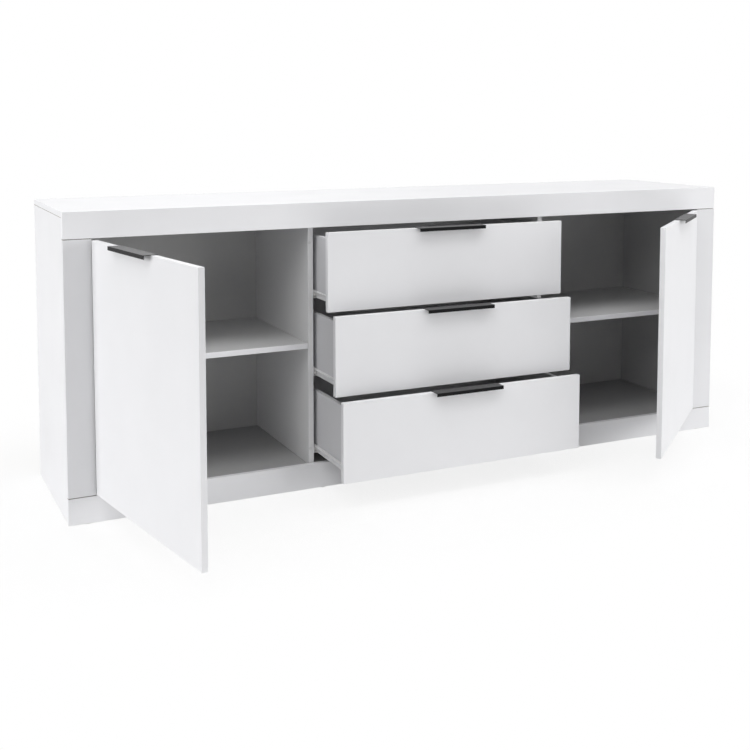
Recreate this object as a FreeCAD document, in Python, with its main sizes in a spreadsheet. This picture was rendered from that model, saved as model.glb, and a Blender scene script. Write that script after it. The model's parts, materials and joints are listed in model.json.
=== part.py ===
"""White sideboard buffet: two hinged doors with a shelf behind each, and three drawers between them.

Frame: origin on the floor under the middle of the carcass, +X to the right, +Y to the back, +Z up.
Rest pose: both doors stand open and the drawers are pulled out in steps.
"""

import FreeCAD, Part

import math
import os
import re

from FreeCAD import Placement, Rotation, Vector
from Sketcher import Constraint

doc = FreeCAD.newDocument("Sideboard")

# ---------------------------------------------------------------- driving dimensions, mm and degrees

DIMENSIONS = {
    "overall_width": 2060,
    "overall_depth": 445,
    "overall_height": 790,
    "board_thickness": 15,
    "edge_radius": 0.8,
    "fascia_height": 68,
    "plinth_height": 70,
    "pilaster_width": 70,
    "frame_seam": 1.2,
    "glide_height": 2,
    "floor_top": 65,
    "divider_centre": 370,
    "divider_setback": 16,
    "back_thickness": 3,
    "back_split_gap": 1,
    "shelf_middle": 396,
    "shelf_end_gap": 1,
    "front_reveal": 4,
    "door_side_gap": 3,
    "hinge_axis_side": 3,
    "hinge_axis_forward": 1,
    "hinge_inset": 100,
    "left_door_angle": 80,
    "right_door_angle": 40.5,
    "door_handle_middle": 250,
    "drawer_side_thickness": 12,
    "drawer_side_height": 170,
    "drawer_side_length": 400,
    "drawer_side_lift": 22,
    "drawer_runner_gap": 12.5,
    "drawer_bottom_thickness": 4,
    "drawer_bottom_lift": 10,
    "drawer_groove_depth": 6,
    "drawer_back_thickness": 12,
    "top_drawer_extension": 100,
    "middle_drawer_extension": 150,
    "bottom_drawer_extension": 200,
    "handle_length": 206,
    "handle_sheet": 1.5,
    "handle_reach": 18,
    "handle_lip": 9.5,
    "handle_back_flange": 14,
    "runner_sheet": 1.2,
    "roller_radius": 7,
    "roller_bore_radius": 2.05,
    "roller_axle_radius": 2,
    "cup_radius": 17.5,
    "cup_depth": 11.5,
    "cup_edge_distance": 22.5,
    "dowel_radius": 4,
    "dowel_length": 30,
    "cam_radius": 7.5,
    "cam_depth": 12,
    "foot_radius": 22,
}

sheet = doc.addObject("Spreadsheet::Sheet", "Dimensions")
for row, (alias, value) in enumerate(DIMENSIONS.items(), start=1):
    sheet.set(f"A{row}", alias)
    sheet.set(f"B{row}", str(value))
    sheet.setAlias(f"B{row}", alias)
doc.recompute()


def size(alias):
    """A driving dimension as a number."""
    return float(getattr(sheet, alias))


def bound(formula):
    """A formula of aliases, written as an expression that reads the spreadsheet."""
    return re.sub("[a-z_]+", lambda word: f"Dimensions.{word.group()}", str(formula))


# ---------------------------------------------------------------- places worked out from the dimensions

BOARD = size("board_thickness")
HALF_WIDTH = size("overall_width") / 2
FRONT_Y = -size("overall_depth") / 2
BACK_Y = size("overall_depth") / 2
CARCASS_FRONT_Y = FRONT_Y + BOARD
CARCASS_BACK_Y = BACK_Y - size("back_thickness")
DIVIDER_FRONT_Y = FRONT_Y + size("divider_setback")
TOP_UNDERSIDE_Z = size("overall_height") - BOARD
OPENING_TOP_Z = size("overall_height") - size("fascia_height")
OPENING_BOTTOM_Z = size("plinth_height")
FLOOR_TOP_Z = size("floor_top")
FLOOR_UNDERSIDE_Z = FLOOR_TOP_Z - BOARD
OPENING_SIDE_X = HALF_WIDTH - size("pilaster_width")
SIDE_INNER_X = HALF_WIDTH - BOARD
DIVIDER_INNER_X = size("divider_centre") - BOARD / 2
DIVIDER_OUTER_X = size("divider_centre") + BOARD / 2
SHELF_UNDERSIDE_Z = size("shelf_middle") - BOARD / 2

REVEAL = size("front_reveal")
DOOR_BOTTOM_Z = OPENING_BOTTOM_Z + REVEAL
DOOR_TOP_Z = OPENING_TOP_Z - REVEAL
DOOR_HEIGHT = DOOR_TOP_Z - DOOR_BOTTOM_Z
DOOR_HINGE_X = OPENING_SIDE_X - size("door_side_gap")
DOOR_FREE_X = size("divider_centre") + REVEAL / 2
HINGE_AXIS_X = OPENING_SIDE_X + size("hinge_axis_side")
HINGE_AXIS_Y = FRONT_Y - size("hinge_axis_forward")
HINGE_HEIGHTS = (DOOR_BOTTOM_Z + size("hinge_inset"), DOOR_TOP_Z - size("hinge_inset"))

DRAWER_FRONT_HEIGHT = (DOOR_HEIGHT - 2 * REVEAL) / 3
DRAWER_FRONT_HALF = size("divider_centre") - REVEAL / 2
DRAWER_BOX_HALF = DIVIDER_INNER_X - size("drawer_runner_gap")
DRAWERS = ("bottom", "middle", "top")

SIDES = {"left": -1, "right": 1}


def drawer_bottom_z(name):
    """Height of the lower edge of a drawer's front."""
    return DOOR_BOTTOM_Z + DRAWERS.index(name) * (DRAWER_FRONT_HEIGHT + REVEAL)


def drawer_shift(name):
    """A drawer is modelled shut and then moved out towards -Y."""
    return Placement(Vector(0, -size(f"{name}_drawer_extension"), 0), Rotation())


def door_swing(side):
    """A door is modelled shut and then turned open about its hinge axis."""
    sign = SIDES[side]
    centre = Vector(sign * HINGE_AXIS_X, HINGE_AXIS_Y, 0)
    return Placement(Vector(), Rotation(Vector(0, 0, 1), sign * size(f"{side}_door_angle")), centre)


# ---------------------------------------------------------------- ways of making a piece

subparts = {}


def keep(piece, label):
    """Names a finished sub-part; its label is also its file's name."""
    piece.Label = label
    subparts[label] = piece
    return piece


def origin_plane(body, role):
    """One of a body's own three base planes."""
    return next(plane for plane in body.Origin.OriginFeatures if plane.Role == role)


def new_body(name, role):
    """An empty Body with a sketch on one of its base planes."""
    body = doc.addObject("PartDesign::Body", name)
    sketch = body.newObject("Sketcher::SketchObject", f"{name}_outline")
    sketch.AttachmentSupport = (origin_plane(body, role), [""])
    sketch.MapMode = "FlatFace"
    return body, sketch


def draw_polygon(sketch, corners):
    """Closes straight lines round the given corners."""
    first = sketch.GeometryCount
    points = [Vector(x, y, 0) for x, y in corners]
    for start, end in zip(points, points[1:] + points[:1]):
        sketch.addGeometry(Part.LineSegment(start, end), False)
    count = len(points)
    for step in range(count):
        sketch.addConstraint(Constraint("Coincident", first + step, 2, first + (step + 1) % count, 1))


def board_body(name, lengths):
    """A rectangular board with softened edges, its corner at the origin; lengths are three formulas."""
    body, sketch = new_body(name, "XY_Plane")
    draw_polygon(sketch, ((0, 0), (10, 0), (10, 10), (0, 10)))
    sketch.addConstraint(Constraint("Coincident", 0, 1, -1, 1))
    for line, direction in enumerate(("Horizontal", "Vertical", "Horizontal", "Vertical")):
        sketch.addConstraint(Constraint(direction, line))
    for line, formula, label in ((0, lengths[0], "length"), (1, lengths[1], "breadth")):
        index = sketch.addConstraint(Constraint("Distance", line, 10.0))
        sketch.renameConstraint(index, label)
        sketch.setExpression(f"Constraints.{label}", bound(formula))
    pad = body.newObject("PartDesign::Pad", f"{name}_pad")
    pad.Profile = sketch
    pad.setExpression("Length", bound(lengths[2]))
    doc.recompute()
    rounding = body.newObject("PartDesign::Fillet", f"{name}_edges")
    rounding.Base = (pad, [f"Edge{number + 1}" for number in range(len(pad.Shape.Edges))])
    rounding.setExpression("Radius", bound("edge_radius"))
    body.Tip = rounding
    return body


def profile_body(name, role, corners, length):
    """A straight length of one cross-section, padded from a base plane by a formula."""
    body, sketch = new_body(name, role)
    draw_polygon(sketch, corners)
    pad = body.newObject("PartDesign::Pad", f"{name}_pad")
    pad.Profile = sketch
    pad.setExpression("Length", bound(length))
    body.Tip = pad
    return body


def turned_body(name, outline):
    """A body turned about Z from (radius, height) corners."""
    body, sketch = new_body(name, "XZ_Plane")
    draw_polygon(sketch, outline)
    turning = body.newObject("PartDesign::Revolution", f"{name}_turning")
    turning.Profile = sketch
    turning.ReferenceAxis = (sketch, ["V_Axis"])
    turning.Angle = 360
    body.Tip = turning
    return body


def shape_group(name, solids):
    """An object holding separate solids made as plain shapes."""
    group = doc.addObject("Part::Feature", name)
    group.Shape = Part.makeCompound(solids)
    return group


def keep_group(label, solids, place=Placement()):
    """Keeps separate solids as one sub-part, moved to its rest place."""
    group = shape_group(label, solids)
    group.Placement = place
    return keep(group, label)


def keep_copies(label, shape, placements):
    """Keeps one finished shape at several places as one sub-part."""
    return keep_group(label, [shape.transformed(place.toMatrix(), True) for place in placements])


def group_of(name, pieces):
    """A group of separate solids made by other objects of the document."""
    group = doc.addObject("Part::Compound", name)
    group.Links = pieces
    return group


def cut_from(name, base, solids):
    """A piece with plain solids taken out of it."""
    cut = doc.addObject("Part::Cut", name)
    cut.Base = base
    cut.Tool = shape_group(f"{name}_tool", solids)
    return cut


def joined(name, base, solid):
    """A piece with one plain solid fused to it."""
    fuse = doc.addObject("Part::Fuse", name)
    fuse.Base = base
    fuse.Tool = shape_group(f"{name}_tool", [solid])
    return fuse


def rod(point, direction, radius, length):
    """A plain round solid starting at a point."""
    return Part.makeCylinder(radius, length, Vector(*point), Vector(*direction))


def prism(points, height):
    """An upright solid with straight walls over closed corners."""
    return Part.Face(Part.makePolygon(points + points[:1])).extrude(Vector(0, 0, height))


def edges_along(shape, axis):
    """The straight edges of a shape that run along an axis, given by its letter."""
    return [edge for edge in shape.Edges
            if abs(getattr(edge.tangentAt(edge.FirstParameter), axis)) > 0.9]


def round_edges(shape):
    """The circular edges of a shape."""
    return [edge for edge in shape.Edges if isinstance(edge.Curve, Part.Circle)]


# ---------------------------------------------------------------- fasteners, and the bores that hold them

BORE_CLEARANCE = 0.05
BORE_OVERRUN = 0.5
SCREW_SHANK_RADIUS = 1.75
SCREW_TIP_RADIUS = 0.3
SCREW_TIP_LENGTH = 2
SCREW_HEAD_RADIUS = 3.2
SCREW_HEAD_HEIGHT = 1.3
SCREW_HEAD_ROUNDING = 0.78
SCREW_LENGTH = 12
DOWEL_SHORT_END = 11
DOWEL_CHAMFER = 1
CAM_SLOT_LENGTH = 9
CAM_SLOT_WIDTH = 1.6
CAM_SLOT_DEPTH = 1.5
BOLT_RADIUS = 3
BOLT_SHORT_END = 10

carcass_bores = []


def screw(point, direction, length=SCREW_LENGTH):
    """A pan-head screw whose head sits on a face at point and whose shank runs along direction."""
    point, direction = Vector(*point), Vector(*direction)
    shank_length = length - SCREW_TIP_LENGTH
    shank = rod(point, direction, SCREW_SHANK_RADIUS, shank_length)
    tip = Part.makeCone(SCREW_SHANK_RADIUS, SCREW_TIP_RADIUS, SCREW_TIP_LENGTH,
                        point + direction * shank_length, direction)
    head = rod(point, -direction, SCREW_HEAD_RADIUS, SCREW_HEAD_HEIGHT)
    rim = [edge for edge in round_edges(head)
           if (edge.Curve.Center - point).Length > SCREW_HEAD_HEIGHT / 2]
    return head.makeFillet(SCREW_HEAD_ROUNDING, rim).fuse([shank, tip]).removeSplitter()


def screw_bore(point, direction, length=SCREW_LENGTH):
    """The drilled hole that a screw's shank stands in."""
    return rod(point, direction, SCREW_SHANK_RADIUS + BORE_CLEARANCE, length + BORE_OVERRUN)


def dowel(point, direction):
    """A wooden dowel with chamfered ends; point is on the joint, the short end lies behind it."""
    direction = Vector(*direction)
    start = Vector(*point) - direction * DOWEL_SHORT_END
    pin = rod(start, direction, size("dowel_radius"), size("dowel_length"))
    carcass_bores.append(rod(start - direction * BORE_OVERRUN, direction,
                             size("dowel_radius") + BORE_CLEARANCE,
                             size("dowel_length") + 2 * BORE_OVERRUN))
    return pin.makeChamfer(DOWEL_CHAMFER, round_edges(pin))


def cam_and_bolt(joint, towards_cam, face_point, into_face):
    """A cam housing let into a board's face, with the bolt that it draws across the joint."""
    joint, towards_cam = Vector(*joint), Vector(*towards_cam)
    face_point, into_face = Vector(*face_point), Vector(*into_face)
    cam = rod(face_point, into_face, size("cam_radius"), size("cam_depth"))
    slot = Part.makeBox(CAM_SLOT_LENGTH, CAM_SLOT_WIDTH, CAM_SLOT_DEPTH,
                        Vector(-CAM_SLOT_LENGTH / 2, -CAM_SLOT_WIDTH / 2, 0))
    slot.Placement = Placement(face_point, Rotation(Vector(0, 0, 1), into_face))
    bolt_start = joint - towards_cam * BOLT_SHORT_END
    bolt_length = (face_point - bolt_start).dot(towards_cam) - size("cam_radius") - BORE_OVERRUN
    bolt = rod(bolt_start, towards_cam, BOLT_RADIUS, bolt_length)
    carcass_bores.append(rod(face_point, into_face, size("cam_radius") + BORE_CLEARANCE,
                             size("cam_depth") + BORE_OVERRUN))
    carcass_bores.append(rod(bolt_start - towards_cam * BORE_OVERRUN, towards_cam,
                             BOLT_RADIUS + BORE_CLEARANCE, bolt_length + 3 * BORE_OVERRUN))
    return [cam.cut(slot), bolt]


def drilled(label, body, corner):
    """Moves a board into place and drills it wherever a fastener's bore meets it."""
    body.Placement = Placement(Vector(*corner), Rotation())
    doc.recompute()
    bores = [bore for bore in carcass_bores if bore.BoundBox.intersect(body.Shape.BoundBox)
             and bore.common(body.Shape).Volume > 1]
    if not bores:
        return keep(body, label)
    return keep(cut_from(f"{label}_drilled", body, bores), label)


# ---------------------------------------------------------------- carcass: connectors, pins and feet

CONNECTOR_FRONT_Y = -150
CONNECTOR_BACK_Y = 150
DOWEL_ROWS = (-70, 70)
CAM_DISTANCE = 34
FRAME_DOWEL_X = (-900, -450, 0, 450, 900)
HINGE_BLOCK_DEPTH = 60
HINGE_BLOCK_HEIGHT = 120
BLOCK_DOWEL_OFFSETS = (-40, 40)
DIVIDER_X = size("divider_centre")
FLOOR_MIDDLE_Z = FLOOR_TOP_Z - BOARD / 2

dowels = []
cams = []
for sign in SIDES.values():
    side_middle_x = sign * (HALF_WIDTH - BOARD / 2)
    for row_y in DOWEL_ROWS:
        dowels.append(dowel((side_middle_x, row_y, TOP_UNDERSIDE_Z), (0, 0, -1)))
        dowels.append(dowel((sign * SIDE_INNER_X, row_y, FLOOR_MIDDLE_Z), (-sign, 0, 0)))
        dowels.append(dowel((sign * DIVIDER_X, row_y, TOP_UNDERSIDE_Z), (0, 0, -1)))
        dowels.append(dowel((sign * DIVIDER_X, row_y, FLOOR_TOP_Z), (0, 0, 1)))
    for row_y in (CONNECTOR_FRONT_Y, CONNECTOR_BACK_Y):
        cam_z = TOP_UNDERSIDE_Z - CAM_DISTANCE
        cams += cam_and_bolt((side_middle_x, row_y, TOP_UNDERSIDE_Z), (0, 0, -1),
                             (sign * SIDE_INNER_X, row_y, cam_z), (sign, 0, 0))
        cams += cam_and_bolt((sign * DIVIDER_X, row_y, TOP_UNDERSIDE_Z), (0, 0, -1),
                             (sign * DIVIDER_OUTER_X, row_y, cam_z), (-sign, 0, 0))
        cams += cam_and_bolt((sign * SIDE_INNER_X, row_y, FLOOR_MIDDLE_Z), (-sign, 0, 0),
                             (sign * (SIDE_INNER_X - CAM_DISTANCE), row_y, FLOOR_UNDERSIDE_Z), (0, 0, 1))
    for height in HINGE_HEIGHTS:
        for offset in BLOCK_DOWEL_OFFSETS:
            dowels.append(dowel((sign * (OPENING_SIDE_X + BOARD / 2), CARCASS_FRONT_Y, height + offset),
                                (0, 1, 0)))
for x in FRAME_DOWEL_X:
    dowels.append(dowel((x, CARCASS_FRONT_Y, size("overall_height") - BOARD / 2), (0, 1, 0)))
    dowels.append(dowel((x, CARCASS_FRONT_Y, FLOOR_MIDDLE_Z), (0, 1, 0)))
keep_group("dowels", dowels)
keep_group("cam_locks", cams)

# Shelf pins: a steel peg in a blind bore, with a collar against the wall.
PIN_RADIUS = 2.5
PIN_BORE_DEPTH = 8
PIN_REACH = 9
PIN_COLLAR_RADIUS = 4
PIN_COLLAR_THICKNESS = 0.8
PIN_ROWS = (-160, 165)

pins = []
for sign in SIDES.values():
    for wall_x, inward in ((sign * SIDE_INNER_X, -sign), (sign * DIVIDER_OUTER_X, sign)):
        for row_y in PIN_ROWS:
            start = (wall_x - inward * PIN_BORE_DEPTH, row_y, SHELF_UNDERSIDE_Z - PIN_RADIUS)
            carcass_bores.append(rod(start, (inward, 0, 0), PIN_RADIUS + BORE_CLEARANCE, PIN_BORE_DEPTH))
            peg = rod(start, (inward, 0, 0), PIN_RADIUS, PIN_BORE_DEPTH + PIN_REACH)
            collar = rod((wall_x, row_y, start[2]), (inward, 0, 0),
                         PIN_COLLAR_RADIUS, PIN_COLLAR_THICKNESS)
            pins.append(peg.fuse(collar).removeSplitter())
keep_group("shelf_pins", pins)

# ---------------------------------------------------------------- drawer runners on the carcass

RUNNER_LENGTH = 396
RUNNER_SETBACK = 2.5
RUNNER_FRONT_Y = CARCASS_FRONT_Y + RUNNER_SETBACK
CHANNEL_FLOOR = -0.4
CHANNEL_ROOF = 19.2
CHANNEL_REACH = 10.5
FRONT_ROLLER_INSET = 9
FRONT_ROLLER_Y = RUNNER_FRONT_Y + FRONT_ROLLER_INSET
FRONT_ROLLER_HEIGHT = 8.6
FRONT_ROLLER_SPAN = (3, 9.6)
REAR_ROLLER_HEIGHT = 8
REAR_ROLLER_SPAN = (4, 10.5)
REAR_ROLLER_INSET = 12
RUNNER_SCREW_ROWS = (-150, -20, 120)
SCREW_AXIS_HEIGHT = 8
AXLE_HEAD_RADIUS = 3.4
AXLE_HEAD_THICKNESS = 1
ROLLER_SIDE_PLAY = 0.1
ROLLER_ROUNDING = 0.8

SHEET = size("runner_sheet")


def drawer_side_z(name):
    """Height of the lower edge of a drawer's sides."""
    return drawer_bottom_z(name) + size("drawer_side_lift")


def across(sign, distance):
    """X of a point at a distance from a divider's inner face towards the drawer."""
    return sign * (DIVIDER_INNER_X - distance)


def placed_profile(name, corners, length, sign, y, z):
    """A runner profile drawn as (distance from the divider, height), running back from y."""
    body = profile_body(name, "XZ_Plane", [(across(sign, d), height) for d, height in corners], length)
    body.Placement = Placement(Vector(0, y, z), Rotation())
    doc.recompute()
    middle = body.Shape.BoundBox.Center.y
    if middle < y:
        body.Placement = Placement(Vector(0, y + body.Shape.BoundBox.YLength, z), Rotation())
    return body


def roller(sign, span, y, z):
    """A runner roller with a rounded tread and a bore for its axle."""
    near, far = span
    wheel = rod((across(sign, near), y, z), (-sign, 0, 0), size("roller_radius"), far - near)
    bore = rod((across(sign, near), y, z), (-sign, 0, 0), size("roller_bore_radius"), far - near)
    return wheel.makeFillet(ROLLER_ROUNDING, round_edges(wheel)).cut(bore)


def axle(sign, root, head_start, y, z):
    """A riveted axle standing on a runner's web, with a head past the roller's free side."""
    onward = 1 if head_start > root else -1
    direction = (-sign * onward, 0, 0)
    pin = rod((across(sign, root), y, z), direction, size("roller_axle_radius"), abs(head_start - root))
    head = rod((across(sign, head_start), y, z), direction, AXLE_HEAD_RADIUS, AXLE_HEAD_THICKNESS)
    return pin.fuse(head)


CHANNEL_OUTLINE = (
    (0, CHANNEL_FLOOR), (CHANNEL_REACH, CHANNEL_FLOOR), (CHANNEL_REACH, CHANNEL_FLOOR + SHEET),
    (SHEET, CHANNEL_FLOOR + SHEET), (SHEET, CHANNEL_ROOF - SHEET),
    (CHANNEL_REACH, CHANNEL_ROOF - SHEET), (CHANNEL_REACH, CHANNEL_ROOF), (0, CHANNEL_ROOF))

carcass_screws = []
channels = []
for name in DRAWERS:
    z = drawer_side_z(name)
    rollers = []
    for side, sign in SIDES.items():
        channel = placed_profile(f"channel_{name}_{side}", CHANNEL_OUTLINE, str(RUNNER_LENGTH), sign,
                                 RUNNER_FRONT_Y, z)
        stub = axle(sign, SHEET / 2, FRONT_ROLLER_SPAN[1] + ROLLER_SIDE_PLAY, FRONT_ROLLER_Y,
                    z + FRONT_ROLLER_HEIGHT)
        riveted = joined(f"riveted_channel_{name}_{side}", channel, stub)
        rollers.append(roller(sign, FRONT_ROLLER_SPAN, FRONT_ROLLER_Y, z + FRONT_ROLLER_HEIGHT))
        seats = [(across(sign, SHEET), row_y, z + SCREW_AXIS_HEIGHT) for row_y in RUNNER_SCREW_ROWS]
        holes = [screw_bore(seat, (sign, 0, 0)) for seat in seats]
        carcass_screws += [screw(seat, (sign, 0, 0)) for seat in seats]
        carcass_bores += holes
        channels.append(cut_from(f"cabinet_runner_{name}_{side}", riveted, holes))
    keep_group(f"front_rollers_{name}", rollers)
keep(group_of("cabinet_runners", channels), "cabinet_runners")

# ---------------------------------------------------------------- hinge arms, on blocks behind the pilasters

PLATE_THICKNESS = 2
PLATE_HEIGHT = 46
PLATE_DEPTH = 20
PLATE_SETBACK = 22
PLATE_CORNER_RADIUS = 5
PLATE_SCREW_OFFSETS = (-16, 16)
ARM_WIDTH = 12
ARM_SETBACK = 6
ARM_OUTLINE = ((0, 0), (0, 52), (4, 52), (8, 44), (8, 10), (3, 0))
ARM_ROUNDING = 1
PLATE_MIDDLE_Y = CARCASS_FRONT_Y + PLATE_SETBACK + PLATE_DEPTH / 2


def hinge_arm(sign, z):
    """The cabinet half of a cup hinge: a winged mounting plate with a folded arm clipped over it."""
    face_x = sign * (OPENING_SIDE_X - PLATE_THICKNESS)
    plate = Part.makeBox(PLATE_THICKNESS, PLATE_DEPTH, PLATE_HEIGHT,
                         Vector(min(sign * OPENING_SIDE_X, face_x), PLATE_MIDDLE_Y - PLATE_DEPTH / 2,
                                z - PLATE_HEIGHT / 2))
    plate = plate.makeFillet(PLATE_CORNER_RADIUS, edges_along(plate, "x"))
    points = [Vector(face_x - sign * rise, CARCASS_FRONT_Y + ARM_SETBACK + along, z - ARM_WIDTH / 2)
              for rise, along in ARM_OUTLINE]
    arm = prism(points, ARM_WIDTH)
    lengthwise = [edge for edge in arm.Edges if abs(edge.tangentAt(edge.FirstParameter).z) < 0.1
                  and edge.Length > PLATE_CORNER_RADIUS]
    shape = plate.fuse(arm.makeFillet(ARM_ROUNDING, lengthwise))
    for offset in PLATE_SCREW_OFFSETS:
        shape = shape.cut(screw_bore((face_x, PLATE_MIDDLE_Y, z + offset), (sign, 0, 0)))
    return shape.removeSplitter()


arms = []
for sign in SIDES.values():
    for z in HINGE_HEIGHTS:
        arms.append(hinge_arm(sign, z))
        for offset in PLATE_SCREW_OFFSETS:
            seat = (sign * (OPENING_SIDE_X - PLATE_THICKNESS), PLATE_MIDDLE_Y, z + offset)
            carcass_screws.append(screw(seat, (sign, 0, 0)))
            carcass_bores.append(screw_bore(seat, (sign, 0, 0)))
keep_group("hinge_arms", arms)

# ---------------------------------------------------------------- carcass: centre foot and its screws

FOOT_FLANGE_RADIUS = 26
FOOT_STEM_RADIUS = 9
FOOT_COLLAR_RADIUS = 14
FOOT_RIM_HEIGHT = 5
FOOT_STEM_BOTTOM = 12
FOOT_STEM_TOP = 40
FOOT_COLLAR_TOP = 44
FOOT_FLANGE_BOTTOM = 47
FOOT_SCREW_COUNT = 3
FOOT_SCREW_CIRCLE = 20
FOOT_SCREW_LENGTH = 13
FOOT_SCREW_SEAT = 2.2
FOOT_RECESS_DEPTH = 8
FOOT_RECESS_PLAY = 0.3

foot = turned_body("centre_foot", (
    (0, 0), (size("foot_radius"), 0), (size("foot_radius"), FOOT_RIM_HEIGHT),
    (FOOT_STEM_RADIUS, FOOT_STEM_BOTTOM), (FOOT_STEM_RADIUS, FOOT_STEM_TOP),
    (FOOT_COLLAR_RADIUS, FOOT_COLLAR_TOP), (FOOT_FLANGE_RADIUS, FOOT_FLANGE_BOTTOM),
    (FOOT_FLANGE_RADIUS, FLOOR_UNDERSIDE_Z), (0, FLOOR_UNDERSIDE_Z)))
doc.recompute()
foot_holes = []
for step in range(FOOT_SCREW_COUNT):
    angle = math.tau * (0.25 + step / FOOT_SCREW_COUNT)
    seat = Vector(FOOT_SCREW_CIRCLE * math.cos(angle), FOOT_SCREW_CIRCLE * math.sin(angle),
                  FLOOR_UNDERSIDE_Z - FOOT_SCREW_SEAT)
    bore = screw_bore(seat, (0, 0, 1), FOOT_SCREW_LENGTH)
    carcass_screws.append(screw(seat, (0, 0, 1), FOOT_SCREW_LENGTH))
    carcass_bores.append(bore)
    foot_holes.append(bore)
    foot_holes.append(rod(seat, (0, 0, -1), SCREW_HEAD_RADIUS + FOOT_RECESS_PLAY, FOOT_RECESS_DEPTH))
keep(cut_from("bored_foot", foot, foot_holes), "centre_foot")

# Round glides under the side panels and the plinth.
GLIDE_RADIUS = 6.5
SIDE_GLIDE_Y = (-150, 180)
PLINTH_GLIDE_X = (-980, -340, 340, 980)
glide = doc.addObject("Part::Cylinder", "glide")
glide.Radius = GLIDE_RADIUS
glide.setExpression("Height", bound("glide_height"))
doc.recompute()
glide_places = [Vector(sign * (HALF_WIDTH - BOARD / 2), y, 0)
                for sign in SIDES.values() for y in SIDE_GLIDE_Y]
glide_places += [Vector(x, FRONT_Y + BOARD / 2, 0) for x in PLINTH_GLIDE_X]
keep_copies("floor_glides", glide.Shape, [Placement(place, Rotation()) for place in glide_places])

# ---------------------------------------------------------------- back sheets and their nails

NAIL_SPACING = 150
NAIL_EDGE = 7.5
NAIL_RADIUS = 0.8
NAIL_HEAD_RADIUS = 2.6
NAIL_HEAD_HEIGHT = 0.8
NAIL_LENGTH = 18
DIVIDER_NAIL_OFFSET = 3.8
NAIL_HEIGHTS = range(100, 760, NAIL_SPACING)
FLOOR_NAIL_X = range(-900, 901, NAIL_SPACING)
BACK_SIDE_INSET = 1
BACK_TOP_GAP = 0.5

# Three thin sheets cover the rear edges and meet over the dividers.
SHEET_EDGE_X = HALF_WIDTH - BACK_SIDE_INSET
SHEET_MEET_X = DIVIDER_X + size("back_split_gap") / 2
SHEET_SPANS = ((-SHEET_EDGE_X, -SHEET_MEET_X),
               (size("back_split_gap") - SHEET_MEET_X, SHEET_MEET_X - size("back_split_gap")),
               (SHEET_MEET_X, SHEET_EDGE_X))
sheets = []
for left, right in SHEET_SPANS:
    back_sheet = doc.addObject("Part::Box", "back_sheet")
    back_sheet.Length = right - left
    back_sheet.Height = TOP_UNDERSIDE_Z - BACK_TOP_GAP - FLOOR_UNDERSIDE_Z
    back_sheet.setExpression("Width", bound("back_thickness"))
    back_sheet.Placement = Placement(Vector(left, CARCASS_BACK_Y, FLOOR_UNDERSIDE_Z), Rotation())
    sheets.append(back_sheet)

nail_columns = [sign * x for sign in SIDES.values()
                for x in (HALF_WIDTH - NAIL_EDGE, DIVIDER_X - DIVIDER_NAIL_OFFSET,
                          DIVIDER_X + DIVIDER_NAIL_OFFSET)]
nail_seats = [(x, BACK_Y, z) for x in nail_columns for z in NAIL_HEIGHTS]
nail_seats += [(x, BACK_Y, FLOOR_MIDDLE_Z) for x in FLOOR_NAIL_X]
nails = []
sheet_holes = []
for seat in nail_seats:
    nail_bore = rod(seat, (0, -1, 0), NAIL_RADIUS + BORE_CLEARANCE, NAIL_LENGTH + BORE_OVERRUN)
    nails.append(rod(seat, (0, -1, 0), NAIL_RADIUS, NAIL_LENGTH).fuse(
        rod(seat, (0, -1, 0), NAIL_HEAD_RADIUS, NAIL_HEAD_HEIGHT)))
    sheet_holes += [nail_bore, rod(seat, (0, -1, 0), NAIL_HEAD_RADIUS + BORE_CLEARANCE, NAIL_HEAD_HEIGHT)]
    carcass_bores.append(nail_bore)
keep_group("back_nails", nails)
keep(cut_from("nailed_back_sheets", group_of("back_sheet_group", sheets), sheet_holes), "back_panels")

# ---------------------------------------------------------------- carcass boards

FULL_DEPTH = "overall_depth - board_thickness"
INNER_DEPTH = "overall_depth - board_thickness - back_thickness"
DIVIDER_DEPTH = "overall_depth - divider_setback - back_thickness"
OPENING = "(overall_height - fascia_height - plinth_height)"

drilled("fascia_rail",
        board_body("fascia", ("overall_width", "board_thickness", "fascia_height")),
        (-HALF_WIDTH, FRONT_Y, OPENING_TOP_Z))
drilled("plinth_rail",
        board_body("plinth", ("overall_width", "board_thickness", "plinth_height - glide_height")),
        (-HALF_WIDTH, FRONT_Y, size("glide_height")))
drilled("top_panel",
        board_body("top", ("overall_width", FULL_DEPTH, "board_thickness")),
        (-HALF_WIDTH, CARCASS_FRONT_Y, TOP_UNDERSIDE_Z))
drilled("floor_panel",
        board_body("floor", ("overall_width - 2 * board_thickness", INNER_DEPTH, "board_thickness")),
        (-SIDE_INNER_X, CARCASS_FRONT_Y, FLOOR_UNDERSIDE_Z))

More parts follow.
